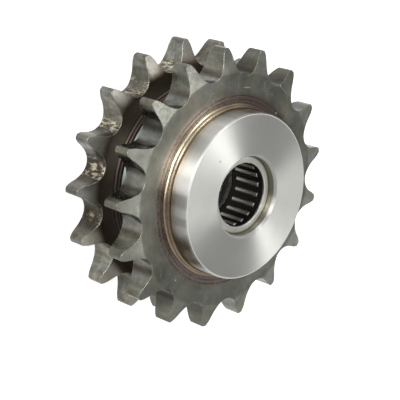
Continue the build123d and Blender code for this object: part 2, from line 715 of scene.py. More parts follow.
class Canvas(Graph):
    """The graph of one steel: its material and shader, the shared effects and the place on the object."""

    def __init__(self, name: str, effects: Effects) -> None:
        """Makes the material with a metal's shader.

        Args:
            name: The material's name.
            effects: The shared effects.
        """
        self.material = bpy.data.materials.new(name)
        self.material.use_nodes = True
        super().__init__(self.material.node_tree)
        self.effects = effects
        self.shader = self.node("BsdfPrincipled")
        self.shader.inputs["Metallic"].default_value = 1.0
        self.put(self.shader.outputs[0], self.node("OutputMaterial").inputs["Surface"])
        self.place = self.node("TexCoord").outputs["Object"]

    def cloud(self, scale: float, detail: float = 3.0, rough: float = 0.5) -> Socket:
        """Adds a cloud noise at the place on the object, with the values that noise takes."""
        return self.noise(self.place, scale, detail, rough)

    def rings(self, pitch: float, wander: float = 0.0) -> Sockets:
        """Puts the turning rings on, with their pitch and how far they wander."""
        return self.effects.rings.place(self, Place=self.place, Pitch=pitch, Wander=wander)

    def grain(self, broad: float, fine: float) -> Sockets:
        """Puts the grain on, with how many cells of each cloud go into a metre."""
        return self.effects.grain.place(self, Place=self.place, Broad=broad, Fine=fine)

    def worn(self, amount: float) -> Socket:
        """Puts the edge wear on and gives how much bare metal shows."""
        edge = self.trait(Trait.EDGE)
        return self.effects.wear.place(self, Place=self.place, Edge=edge, Amount=amount)["Worn"]

    def mark(self, arc_mask: ArcMask) -> Socket:
        """Puts one soft mark round the axis on.

        Args:
            arc_mask: The mark.

        Returns:
            Its share of the colour.
        """
        mark = self.effects.side.place(
            self,
            Place=self.place,
            Middle=math.radians(arc_mask.middle),
            Far=math.cos(math.radians(arc_mask.reach)),
            Near=math.cos(math.radians(arc_mask.core * arc_mask.reach)),
        )["Mark"]
        return self.times(mark, arc_mask.strength)

    def paint_light_and_shade(self, colour: Socket, marks: tuple[ArcMask, ...], tint: Colour, fade: Value = 1.0) -> Socket:
        """Tints a colour in places round the axis, as painted light and shade.

        Args:
            colour: The colour without the marks.
            marks: The marks.
            tint: What a whole mark multiplies the colour by.
            fade: How much of the marks shows here.

        Returns:
            The colour with the marks.
        """
        for arc_mask in marks:
            colour = self.tint(colour, tint, self.times(self.mark(arc_mask), fade))
        return colour

    def nick(self, nick: Nick) -> Socket:
        """Puts one nick on.

        The place is turned and scaled so that the nick's rim lies 1 from its middle, and the nick eases
        from its strength at 0.5 to nothing at 1.

        Args:
            nick: The nick.

        Returns:
            Its share of the colour.
        """
        local = self.node("Mapping", vector_type="TEXTURE")
        self.put(self.place, local.inputs["Vector"])
        local.inputs["Location"].default_value = Vector(nick.middle) * MM
        local.inputs["Rotation"].default_value = (0.0, 0.0, math.radians(nick.turn))
        local.inputs["Scale"].default_value = (nick.length * MM, nick.width * MM, nick.width * MM)
        away = self.node("VectorMath", operation="LENGTH")
        self.put(local.outputs["Vector"], away.inputs[0])
        return self.remap(away.outputs["Value"], 0.5, 1.0, nick.strength, 0.0)

    def less_metal(self, share: Socket, least: float) -> None:
        """Takes the shader from a full metal to the least of one where share is 1."""
        self.put(self.remap(share, 0.0, 1.0, 1.0, least), self.shader.inputs["Metallic"])

    def coat(self, colour: Socket, matt: Socket, height: Socket, depth: float) -> None:
        """Puts a colour, a roughness and a relief on the shader.

        Args:
            colour: The colour.
            matt: The roughness.
            height: The height map, from 0 to 1, which bends the normal.
            depth: How deep 0 to 1 is, in metres.
        """
        self.put(colour, self.shader.inputs["Base Color"])
        self.put(matt, self.shader.inputs["Roughness"])
        bump = self.node("Bump")
        bump.inputs["Distance"].default_value = depth
        self.put(height, bump.inputs["Height"])
        self.put(bump.outputs[0], self.shader.inputs["Normal"])


@dataclass(frozen=True)
class Finish:
    """What all the steels share: a name, a colour, how rough they are and how they streak light."""

    name: str
    colour: Colour
    roughness: float
    streak: float = 0.0

    def build(self, effects: Effects) -> bpy.types.Material:
        """Makes the finish's material, whose streak goes round the axis.

        Args:
            effects: The shared effects.

        Returns:
            The material.
        """
        canvas = Canvas(self.name, effects)
        sockets = canvas.shader.inputs
        canvas.put(self.colour, sockets["Base Color"])
        canvas.put(self.roughness, sockets["Roughness"])
        canvas.put(self.streak, sockets["Anisotropic"])
        if self.streak > 0:
            sockets["Anisotropic Rotation"].default_value = 0.25
            tangent = canvas.node("Tangent", direction_type="RADIAL", axis="Z")
            canvas.put(tangent.outputs[0], sockets["Tangent"])
        self.paint(canvas)
        return canvas.material

    def paint(self, canvas: Canvas) -> None:
        """Lays out the finish's nodes.

        Args:
            canvas: The graph of its material.
        """
        raise NotImplementedError

    def matt(self, canvas: Canvas, speckle: Socket, low: float, high: float) -> Socket:
        """The roughness, which the fine cloud takes from low to high times its plain value."""
        return canvas.vary(speckle, self.roughness * low, self.roughness * high)


@dataclass(frozen=True)
class TurnedSteel(Finish):
    """Bright steel from the lathe.

    It is browned above the weld, blued on the shoulder in the groove, and has a small pit on its front face.
    Painted shade stands for dark reflections on the barrel in places, tinted brown, and darkens the bore,
    and a thin painted highlight lies along its rim.
    """

    broad_scale: float = 45.0
    fine_scale: float = 1400.0
    wear_amount: float = 0.8
    ring_pitch: float = 0.12 * MM
    ring_depth: float = 0.0015 * MM
    weld_height: float = -1.0
    tint_reach: float = 5.0 * MM
    bore_radius: float = 0.0
    # Painted shade in the bore: darker and browner than the hub's steel.
    bore_shade_colour: Colour = (0.37, 0.345, 0.28)
    barrel_radius: float = 0.0
    shoulder_radius: float = 1.0
    shoulder_colour: Colour = (0.44, 0.55, 0.51)
    # Painted shade: dark reflections on the barrel, painted brown at fixed sides round it.
    barrel_shade_colour: Colour = (0.22, 0.172, 0.124)
    barrel_shade_fade: tuple[float, float] = (2.0 * MM, 8.0 * MM)
    barrel_shade_marks: tuple[ArcMask, ...] = ()
    pit: Nick = Nick((-6.61, -22.4, 44.45), 0.55, 0.42, 10, 0.85)
    pit_colour: Colour = (0.16, 0.15, 0.14)
    # Worn edges take this colour, and so does the rim's painted highlight.
    wear_and_rim_highlight_colour: Colour = (0.93, 0.93, 0.91)
    rim_highlight_reach: float = 1.0
    rim_highlight_line: tuple[float, float] = (0.28 * MM, 0.12 * MM)
    rim_highlight_strength: float = 0.75
    rim_highlight_metal: float = 0.5

    def paint(self, canvas: Canvas) -> None:
        """Lays out the nodes.

        Radius plus twice the height grows up the rim's chamfer and towards it on the face, so the painted
        highlight line is where that sum comes close to its value at the chamfer's upper corner.

        Args:
            canvas: The graph of its material.
        """
        rings = canvas.rings(self.ring_pitch)
        grain = canvas.grain(self.broad_scale, self.fine_scale)
        radius = rings["Radius"]
        tone = canvas.vary(rings["Tone"], 0.95, 1.05, 0.3)
        tone = canvas.times(tone, canvas.vary(grain["Cloud"], 0.95, 1.04))
        colour = canvas.tint(self.colour, tone)
        near = canvas.off(rings["Height"], self.weld_height)
        heat = canvas.effects.heat.place(canvas, Place=canvas.place, Distance=near, Reach=self.tint_reach)
        colour = canvas.tint(colour, heat["Tint"], heat["Amount"])
        on_barrel = canvas.math("GREATER_THAN", radius, self.barrel_radius)
        barrel_shade = canvas.times(self._barrel_shade_strength(canvas, near), on_barrel)
        # Painted shade on the barrel at fixed sides, standing in for dark reflections.
        colour = canvas.paint_light_and_shade(colour, self.barrel_shade_marks, self.barrel_shade_colour, barrel_shade)
        # Painted shade: inside the bore the colour turns darker and browner.
        in_bore = canvas.math("LESS_THAN", radius, self.bore_radius)
        colour = canvas.mix(in_bore, colour, self.bore_shade_colour)
        on_shoulder = canvas.math("GREATER_THAN", radius, self.shoulder_radius)
        colour = canvas.mix(on_shoulder, colour, self.shoulder_colour)
        colour = canvas.mix(canvas.nick(self.pit), colour, self.pit_colour)
        colour = canvas.mix(canvas.worn(self.wear_amount), colour, self.wear_and_rim_highlight_colour)
        # Painted highlight: a thin bright line along the rim's chamfer, made less metallic so that it stays
        # bright.
        reach = canvas.math("MULTIPLY_ADD", rings["Height"], 2.0, radius)
        start, end = (self.rim_highlight_reach - short for short in self.rim_highlight_line)
        rim_highlight = canvas.remap(reach, start, end, 0.0, self.rim_highlight_strength)
        colour = canvas.mix(rim_highlight, colour, self.wear_and_rim_highlight_colour)
        canvas.less_metal(rim_highlight, self.rim_highlight_metal)
        canvas.coat(colour, self.matt(canvas, grain["Speckle"], 0.92, 1.1), rings["Tone"], self.ring_depth)

    def _barrel_shade_strength(self, canvas: Canvas, near: Socket) -> Socket:
        """How strong the barrel's painted shade is at a height over the weld: a little less at the weld, and
        uneven.
        """
        uneven = canvas.vary(canvas.cloud(150.0), 0.8, 1.2)
        return canvas.times(canvas.remap(near, *self.barrel_shade_fade, 0.8, 0.95), uneven)


@dataclass(frozen=True)
class PlateSteel(Finish):
    """Dark hot-rolled steel: turned faces, paler reliefs on the teeth, and cut flanks and gullets.

    The fades are the radii from where to where something fades outwards. The seat is how much of the painted
    highlight strip a gullet's bottom has, and the chips how much of the scale and its chips.
    """

    broad_scale: float = 55.0
    fine_scale: float = 1100.0
    wear_amount: float = 0.38
    worn_colour: Colour = (0.42, 0.41, 0.37)
    ring_pitch: float = 0.35 * MM
    ring_wander: float = 1.5 * MM
    grain_depth: float = 0.012 * MM
    relief_colour: Colour = (0.232, 0.234, 0.202)
    flank_colour: Colour = (0.146, 0.147, 0.125)
    # Painted shade: gullets darker than the flanks, most on the front plate.
    gullet_shade_colour: Colour = (0.060, 0.055, 0.045)
    # Painted highlight: the paler strip along a gullet's bottom.
    seat_highlight_colour: Colour = (0.14, 0.144, 0.134)
    # Painted shade in the groove between the plates, brown in part as heat tint, with a warm brown lead-in.
    groove_shade_colour: Colour = (0.114, 0.079, 0.062)
    groove_edge_shade_tint: Colour = (0.66, 0.56, 0.49)
    chip_colour: Colour = (0.66, 0.61, 0.475)
    scale_colour: Colour = (0.055, 0.038, 0.024)
    band_colour: Colour = (0.27, 0.218, 0.19)
    line_colour: Colour = (0.075, 0.047, 0.042)
    scratch_colour: Colour = (0.40, 0.39, 0.36)
    nick_colour: Colour = (0.66, 0.65, 0.60)
    nicks: tuple[Nick, ...] = (
        Nick((-38.95, -13.49, 34.06), 2.6, 0.3, 113, 0.5),
        Nick((-46.99, 4.46, 34.0), 0.55, 0.4, 80, 0.8),
        Nick((-46.3, 7.5, 34.0), 4.2, 0.28, 80, 0.3),
        Nick((40.61, -8.31, 34.06), 0.5, 0.42, 0, 0.9),
        Nick((-36.77, 8.24, 34.06), 0.75, 0.35, 103, 0.8),
    )
    brown_tint: Colour = (1.02, 0.965, 0.875)
    # Painted sheen: one side of the faces is made paler.
    sheen_side: ArcMask = ArcMask(50, 75, 1.0)
    sheen_tint: Colour = (1.36, 1.40, 1.40)
    # Painted highlight beside the weld on one side, with a halo, and painted shade on another side.
    highlight_side: ArcMask = ArcMask(255, 42, 0.75)
    highlight_colour: Colour = (0.60, 0.51, 0.42)
    highlight_halo_colour: Colour = (0.33, 0.28, 0.235)
    highlight_halo_width: float = 7.0 * MM
    shaded_side: ArcMask = ArcMask(165, 60, 0.6)
    cut_roughness: float = 0.235
    streaks: float = 0.06
    blotches: float = 0.10
    chips: float = 0.0
    chip_side: ArcMask = ArcMask(245, 85, 1.0)
    seat: float = 1.0
    # Painted shade on the flanks at some sides of the part.
    flank_shade_marks: tuple[ArcMask, ...] = ()
    flank_shade_tint: Colour = (0.22, 0.19, 0.16)
    flank_shade_fade: tuple[float, float] = (49.5 * MM, 54.0 * MM)
    tip_fade: tuple[float, float] = (54.2 * MM, 55.8 * MM)
    relief_radius: float = 47.17 * MM
    groove_middle: float = 17.03 * MM
    groove_reach: float = 8.5 * MM
    groove_shade_fade: tuple[float, float] = (46.9 * MM, 49.5 * MM)
    groove_edge_shade_fade: tuple[float, float] = (47.5 * MM, 50.8 * MM)
    groove_line: float = 41.0 * MM
    inner_line: float = 36.4 * MM
    outer_line: float = 38.0 * MM
    line_width: float = 0.35 * MM
    calm_width: float = 4.0 * MM

    def paint(self, canvas: Canvas) -> None:
        """Lays out the nodes. Beside the weld the face is smoother, and its relief nearly flat.

        Args:
            canvas: The graph of its material.
        """
        flank = canvas.trait(Trait.FLANK)
        rings = canvas.rings(self.ring_pitch, self.ring_wander)
        grain = canvas.grain(self.broad_scale, self.fine_scale)
        radius, speckle = rings["Radius"], grain["Speckle"]
        face = self._groove_shade(canvas, self._face(canvas, rings, grain["Cloud"]), rings)
        cut, relief = self._cut(canvas, grain["Cloud"], radius)
        colour = canvas.mix(flank, face, cut)
        colour = canvas.mix(canvas.worn(self.wear_amount), colour, self.worn_colour)
        calm_end = self.outer_line + self.calm_width
        smoother = canvas.remap(radius, self.outer_line - 0.5 * MM, calm_end, 0.72, 1.0)
        face_matt = canvas.times(self.matt(canvas, speckle, 0.85, 1.2), smoother)
        cut_matt = canvas.vary(speckle, self.cut_roughness * 0.8, self.cut_roughness * 1.25)
        height = canvas.plus(canvas.times(rings["Tone"], 0.25), speckle)
        height = canvas.plus(height, canvas.times(canvas.times(relief, flank), 2.0))
        calm = canvas.remap(radius, self.outer_line, calm_end, 0.12, 1.0)
        matt = canvas.blend(flank, face_matt, cut_matt)
        canvas.coat(colour, matt, canvas.times(height, calm), self.grain_depth)

    def _ring(self, canvas: Canvas, radius: Socket, middle: float, width: float) -> Socket:
        """Marks a ring of the face: one at its middle radius, falling to nothing a width to each side."""
        return canvas.remap(canvas.off(radius, middle), 0.0, width, 1.0, 0.0)

    def _face(self, canvas: Canvas, rings: Sockets, cloud: Socket) -> Socket:
        """Colours a face: mill grey, paler reliefs and a painted sheen on one side, with scratches and
        nicks.

        Beside the weld lies a brown band between two dark lines, with a painted highlight on one side and
        painted shade on another, and on the highlighted side a painted halo of light goes on outside it.

        Args:
            canvas: The graph of its material.
            rings: The turning rings' outputs.
            cloud: The grain's broad cloud.

        Returns:
            The face's colour.
        """
        radius = rings["Radius"]
        edge = canvas.plus(radius, canvas.times(canvas.cloud(350.0), 0.5 * MM))
        on_relief = canvas.remap(edge, self.relief_radius - 0.5 * MM, self.relief_radius + 0.9 * MM)
        colour = canvas.mix(on_relief, self.colour, self.relief_colour)
        tone = canvas.vary(rings["Tone"], 0.9, 1.08, 0.25)
        tone = canvas.times(tone, canvas.vary(cloud, 0.74, 1.22))
        tone = canvas.times(tone, canvas.vary(canvas.cloud(210.0, 5.0, 0.7), 0.88, 1.1, 0.15))
        colour = canvas.tint(colour, tone)
        colour = canvas.tint(colour, self.brown_tint, canvas.remap(canvas.cloud(120.0), 0.45, 0.68))
        # Painted sheen: one side of the face is made paler.
        colour = canvas.paint_light_and_shade(colour, (self.sheen_side,), self.sheen_tint)
        colour = canvas.mix(self._scratches(canvas), colour, self.scratch_colour)
        # Painted highlight with its halo on one side of the weld band, painted shade on another.
        bright, dark = canvas.mark(self.highlight_side), canvas.mark(self.shaded_side)
        halo = canvas.remap(radius, self.outer_line, self.outer_line + self.highlight_halo_width, 0.4, 0.0)
        colour = canvas.mix(canvas.times(halo, bright), colour, self.highlight_halo_colour)
        band = canvas.mix(dark, canvas.mix(bright, self.band_colour, self.highlight_colour), self.line_colour)
        in_band = canvas.remap(radius, self.outer_line - 0.8 * MM, self.outer_line + 2.6 * MM, 1.0, 0.0)
        colour = canvas.mix(canvas.times(in_band, 0.9), colour, band)
        inner = self._ring(canvas, radius, self.inner_line, self.line_width)
        outer = self._ring(canvas, radius, self.outer_line, self.line_width * 1.2)
        broken = canvas.remap(canvas.cloud(130.0, 2.0), 0.3, 0.6, 0.25, 0.8)
        line = canvas.times(canvas.math("MAXIMUM", inner, outer), broken)
        colour = canvas.mix(line, colour, self.line_colour)
        for nick in self.nicks:
            colour = canvas.mix(canvas.nick(nick), colour, self.nick_colour)
        return colour

    def _scratches(self, canvas: Canvas) -> Socket:
        """Handling marks: short stretches of the straight walls between large cells, and bright specks.

        Args:
            canvas: The graph of its material.

        Returns:
            How much of the bright metal shows.
        """
        walls = canvas.node("TexVoronoi", feature="DISTANCE_TO_EDGE")
        canvas.put(canvas.place, walls.inputs["Vector"])
        walls.inputs["Scale"].default_value = 75.0
        thin = canvas.remap(walls.outputs["Distance"], 0.004, 0.013, 0.55, 0.0)
        here = canvas.remap(canvas.cloud(150.0, 2.0), 0.56, 0.66)
        flecks = canvas.effects.flecks.place(canvas, Place=canvas.place, Scale=260.0, Rarity=0.975)
        return canvas.math("MAXIMUM", canvas.times(thin, here), canvas.times(flecks["Chosen"], 0.6))

    def _groove_shade(self, canvas: Canvas, colour: Socket, rings: Sockets) -> Socket:
        """Paints shade on the faces that look into the groove between the plates, brown in part as heat
        tint, and leaves a paler ring there.

        Args:
            canvas: The graph of its material.
            colour: The face's colour.
            rings: The turning rings' outputs.

        Returns:
            The colour with the groove's painted shade in it.
        """
        away = canvas.off(rings["Height"], self.groove_middle)
        beside = canvas.remap(away, self.groove_reach, self.groove_reach + 0.4 * MM, 1.0, 0.0)
        radius = canvas.plus(rings["Radius"], canvas.times(rings["Tone"], 0.8 * MM))
        line = self._ring(canvas, rings["Radius"], self.groove_line, self.line_width)
        dark = canvas.mix(canvas.times(line, 0.3), self.groove_shade_colour, self.band_colour)
        # Painted shade: faces in the groove fade through warm brown to dark.
        warm = canvas.times(beside, canvas.remap(radius, *self.groove_edge_shade_fade, 1.0, 0.0))
        colour = canvas.tint(colour, self.groove_edge_shade_tint, warm)
        deep = canvas.times(beside, canvas.remap(radius, *self.groove_shade_fade, 1.0, 0.0))
        return canvas.mix(deep, colour, dark)

    def _cut(self, canvas: Canvas, cloud: Socket, radius: Socket) -> tuple[Socket, Socket]:
        """Colours what the cutter left: streaked flanks with painted shade at some sides, and gullets
        darkened as painted shade.

        The map's u is the length along the outline and its v the height, so noise that is stretched
        along u gives streaks from tip to gullet. A gullet has a painted highlight strip at its bottom, or
        chips.

        Args:
            canvas: The graph of its material.
            cloud: The grain's broad cloud.
            radius: The distance from the shaft's axis.

        Returns:
            The cut's colour and its relief.
        """
        gullet = canvas.trait(Trait.GULLET)
        along, height, _ = canvas.split(canvas.node("TexCoord").outputs["UV"])
        # Painted shade: gullets darker than the flanks, with a painted highlight strip along their bottom.
        colour = canvas.mix(canvas.remap(gullet, 0.35, 0.75), self.flank_colour, self.gullet_shade_colour)
        bottom = canvas.plus(gullet, canvas.times(canvas.cloud(240.0), 0.10))
        strip = canvas.times(canvas.remap(bottom, 0.86, 1.05), self.seat)
        colour = canvas.mix(strip, colour, self.seat_highlight_colour)
        streaks = canvas.noise(canvas.combine(canvas.times(along, 0.16), height), 800.0, 5.0, 0.75)
        tone = canvas.vary(streaks, 1 - 2.0 * self.streaks, 1 + 2.4 * self.streaks, 0.25)
        blotched = canvas.combine(along, canvas.times(height, 0.45))
        blotch = canvas.noise(blotched, 330.0, 4.0, 0.6)
        spotty = canvas.vary(blotch, 1 - 2 * self.blotches, 1 + 2 * self.blotches, 0.17)
        tone = canvas.times(tone, spotty)
        tone = canvas.times(tone, canvas.vary(cloud, 0.75, 1.25))
        tone = canvas.times(tone, canvas.remap(radius, *self.tip_fade, 1.0, 0.85))
        colour = canvas.tint(colour, tone)
        browned = canvas.remap(canvas.noise(blotched, 200.0), 0.45, 0.65)
        colour = canvas.tint(colour, self.brown_tint, browned)
        uneven = canvas.remap(blotch, 0.35, 0.6, 0.75, 1.1)
        fade = canvas.times(canvas.remap(radius, *self.flank_shade_fade, 1.0, 0.4), uneven)
        # Painted shade on the flanks at some sides, fading towards the tips.
        colour = canvas.paint_light_and_shade(colour, self.flank_shade_marks, self.flank_shade_tint, fade)
        clotted = canvas.combine(along, canvas.times(height, 0.38))
        colour, chips = self._chips(canvas, colour, gullet, clotted)
        relief = canvas.plus(canvas.times(streaks, 4.0 * self.streaks), canvas.times(chips, 1.5))
        return colour, relief

    def _chips(
        self, canvas: Canvas, colour: Socket, gullet: Socket, clotted: Socket
    ) -> tuple[Socket, Socket]:
        """Lays dark scale in the gullets of one side, with pale chips in it.

        Args:
            canvas: The graph of its material.
            colour: The cut's colour.
            gullet: How deep in a gullet the place is, from 0 to 1.
            clotted: The place on the map, drawn out so that chips are longer across the plate.

        Returns:
            The colour with the scale and the chips, and how much of a chip there is.
        """
        patch = canvas.remap(canvas.noise(clotted, 190.0), 0.42, 0.54)
        deep = canvas.times(canvas.remap(gullet, 0.4, 0.7), self.chips)
        patch = canvas.times(patch, canvas.times(deep, canvas.mark(self.chip_side)))
        colour = canvas.mix(canvas.times(patch, 0.6), colour, self.scale_colour)
        clots = canvas.noise(clotted, 820.0, 5.0, 0.72)
        chips = canvas.times(canvas.remap(clots, 0.46, 0.60), patch)
        dulled = canvas.remap(canvas.noise(clotted, 420.0, 2.0), 0.4, 0.62, 1.0, 0.45)
        return canvas.mix(canvas.times(chips, dulled), colour, self.chip_colour), chips


@dataclass(frozen=True)
class WeldSteel(Finish):
    """A smooth bead with straw crests and brown hollows, with a painted highlight on one side and painted
    shade on another.
    """

    broad_scale: float = 120.0
    fine_scale: float = 1800.0
    grain_depth: float = 0.003 * MM
    crest_colour: Colour = (0.36, 0.295, 0.21)
    # Painted highlight on one side of the bead, and painted shade on another.
    highlight_colour: Colour = (0.79, 0.69, 0.50)
    highlight_side: ArcMask = ArcMask(255, 42, 0.0)
    bead_shade_tint: Colour = (0.2, 0.18, 0.17)
    shaded_side: ArcMask = ArcMask(172, 40, 0.0)
    root_radius: float = 0.0
    # Painted shade at the bead's root, against the hub.
    root_shade_tint: Colour = (0.52, 0.44, 0.33)

    def paint(self, canvas: Canvas) -> None:
        """Lays out the nodes. Painted shade darkens the bead at its root, against the hub.

        Args:
            canvas: The graph of its material.
        """
        grain = canvas.grain(self.broad_scale, self.fine_scale)
        # Painted highlight on one side lightens the bead's hollows and crests.
        bright = canvas.mark(self.highlight_side)
        hollow = canvas.mix(canvas.times(bright, 0.55), self.colour, self.highlight_colour)
        crest = canvas.mix(bright, self.crest_colour, self.highlight_colour)
        colour = canvas.mix(canvas.trait(Trait.CREST), hollow, crest)
        # Painted shade on another side.
        colour = canvas.paint_light_and_shade(colour, (self.shaded_side,), self.bead_shade_tint)
        radius = canvas.rings(1.0 * MM)["Radius"]
        # Painted shade at the root, against the hub.
        root = canvas.remap(radius, self.root_radius + 0.1 * MM, self.root_radius + 1.0 * MM, 1.0, 0.0)
        colour = canvas.tint(colour, self.root_shade_tint, root)
        colour = canvas.tint(colour, canvas.vary(grain["Cloud"], 0.85, 1.1))
        speckle = grain["Speckle"]
        canvas.coat(colour, self.matt(canvas, speckle, 0.8, 1.3), speckle, self.grain_depth)


@dataclass(frozen=True)
class BearingSteel(Finish):
    """Hardened bearing steel: drawn cups with painted shade deep in the bore about the seam between them,
    ground needles or a dark cage.
    """

    broad_scale: float = 140.0
    fine_scale: float = 1600.0
    grain_depth: float = 0.004 * MM
    contrast: float = 0.1
    worn_colour: Colour = (0.9, 0.9, 0.88)
    wear_amount: float = 0.6
    seam_height: float = 22.225 * MM
    # Painted shade deep in the bore about the seam, made less metallic so that it stays dark.
    seam_shade_fade: tuple[float, float] = (4 * MM, 7 * MM)
    seam_shade_metal: float = 0.3
    seam_shade_colour: Colour | None = None

    def paint(self, canvas: Canvas) -> None:
        """Lays out the nodes, with painted shade about the seam between the bearings if it has a colour.

        Args:
            canvas: The graph of its material.
        """
        grain = canvas.grain(self.broad_scale, self.fine_scale)
        tone = canvas.vary(grain["Cloud"], 1 - self.contrast, 1 + self.contrast)
        colour = canvas.tint(self.colour, tone)
        # Painted shade deep in the bore about the seam between the bearings.
        if self.seam_shade_colour is not None:
            away = canvas.off(canvas.split(canvas.place)[2], self.seam_height)
            inner = canvas.remap(away, *self.seam_shade_fade, 1.0, 0.0)
            colour = canvas.mix(inner, colour, self.seam_shade_colour)
            canvas.less_metal(inner, self.seam_shade_metal)
        colour = canvas.mix(canvas.worn(self.wear_amount), colour, self.worn_colour)
        speckle = grain["Speckle"]
        canvas.coat(colour, self.matt(canvas, speckle, 0.85, 1.2), speckle, self.grain_depth)


# The sprocket's pieces


def dress(piece: bpy.types.Object, material: bpy.types.Material, slot: Slot, body: str, *nodes: str) -> None:
    """Gives a new piece its material and its place in the frame.

    Args:
        piece: The piece.
        material: Its material.
        slot: The record's slot for its finish. It is not used.
        body: The body that it rides on.
        nodes: The CAD nodes that it stands for.
    """
    piece.data.materials.clear()
    piece.data.materials.append(material)
    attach(piece, body)
    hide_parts(*nodes)
    log.info("%s stands for %s, with %d faces", piece.name, ", ".join(nodes), len(piece.data.polygons))


def unit(angle: float | Array) -> complex | Array:
    """An angle's direction as a complex number: cos(angle) + i sin(angle)."""
    return np.exp(1j * angle)


@dataclass(frozen=True)
class ChainTooth:
    """The standard chain tooth: a seating curve, a working curve, a straight flank and a topping curve."""

    pitch: float = 19.05 * MM
    roller_diameter: float = 11.91 * MM
    seating_allowance: float = 0.038 * MM
    working_offset: float = 0.8
    topping_offset: float = 1.4
    teeth: int = 17

    @property
    def half_angle(self) -> float:
        """Half the angle from one tooth to the next, in radians."""
        return math.pi / self.teeth

    @property
    def pitch_radius(self) -> float:
        """The radius of the circle that the rollers' centres lie on."""
        return self.pitch / (2 * math.sin(self.half_angle))

    @property
    def tip_radius(self) -> float:
        """The radius of the blank that the teeth are cut from."""
        return self.pitch / 2 * (0.6 + 1 / math.tan(self.half_angle))

    @property
    def root_radius(self) -> float:
        """The radius of the bottom of a gap."""
        return self.pitch_radius - self.seating_radius

    @property
    def seating_radius(self) -> float:
        """The radius of the curve that a roller sits in."""
        return 0.5025 * self.roller_diameter + self.seating_allowance

    def half_gap(self, samples: int = 60) -> Array:
        """Draws a gap from its bottom on +X to the middle of the next tooth.

        The seating arc runs about the roller's centre. The working arc's centre lies working_offset roller
        diameters from it, so that the two arcs run on into each other. The flank is straight, and the
        topping arc about a centre topping_offset roller diameters away takes it to the tip circle, which
        ends the half gap. The angles are the standard's, in degrees: 35 + 60 / teeth, 18 - 56 / teeth and
        17 - 64 / teeth.

        Args:
            samples: How many points each stretch has.

        Returns:
            The points as complex numbers.
        """
        seating_angle = math.radians(35 + 60 / self.teeth)
        working_angle = math.radians(18 - 56 / self.teeth)
        flank_angle = seating_angle - working_angle
        to_working = self.working_offset * self.roller_diameter
        to_topping = self.topping_offset * self.roller_diameter
        flank_length = self.roller_diameter * (
            self.topping_offset * math.sin(math.radians(17 - 64 / self.teeth))
            - self.working_offset * math.sin(working_angle)
        )
        share = np.linspace(0, 1, samples)
        centre = complex(self.pitch_radius, 0)
        quarter = math.pi / 2
        seat = centre + self.seating_radius * unit(math.pi + share * (seating_angle - quarter))
        working_centre = centre + to_working * unit(seating_angle - quarter)
        working_radius = to_working + self.seating_radius
        working = working_centre + working_radius * unit(quarter + seating_angle - share * working_angle)
        flank = working[-1] + share * flank_length * unit(flank_angle)
        topping_centre = centre + to_topping * unit(quarter + self.half_angle)
        topping_radius = abs(flank[-1] - topping_centre)
        reach = abs(topping_centre)
        corner = (self.tip_radius**2 - reach**2 - topping_radius**2) / (2 * reach * topping_radius)
        end_angle = np.angle(topping_centre) - math.acos(corner)
        start_angle = flank_angle - quarter
        topping = topping_centre + topping_radius * unit(start_angle + share * (end_angle - start_angle))
        tip_angle = np.angle(topping[-1])
        tip = self.tip_radius * unit(tip_angle + share * (self.half_angle - tip_angle))
        return np.concatenate([seat[:-1], working[:-1], flank[:-1], topping[:-1], tip])

    def outline(self, points_per_tooth: int, softness: float) -> tuple[Array, Array]:
        """Draws all the teeth as one closed line, with its corners softened.

        The half gap and its mirror image are turned to each gap in turn, and read again at even steps of
        length. The line is then taken apart into waves, and each is scaled by
        exp(-(softness x wave number)^2 / 2), which rounds its corners and leaves its long curves.

        Args:
            points_per_tooth: How many points each tooth gets.
            softness: The width of the rounding.

        Returns:
            The points from the middle of the tooth on +X, anticlockwise, as complex numbers, and the
            length along the line at each, with the whole length at the end.
        """
        half = self.half_gap()
        gap = np.concatenate([np.conj(half[:0:-1]), half[:-1]])
        turns = unit((2 * np.arange(self.teeth) + 1) * self.half_angle)
        drawn = (turns[:, None] * gap[None, :]).ravel()
        closed = np.append(drawn, drawn[0])
        length = np.concatenate([[0.0], np.cumsum(np.abs(np.diff(closed)))])
        count = points_per_tooth * self.teeth
        even = np.linspace(0, length[-1], count + 1)
        points = np.interp(even[:-1], length, closed.real) + 1j * np.interp(even[:-1], length, closed.imag)
        wave = np.fft.fftfreq(count, 1 / count) * math.tau / length[-1]
        points = np.fft.ifft(np.fft.fft(points) * np.exp(-((softness * wave) ** 2) / 2))
        return points, even


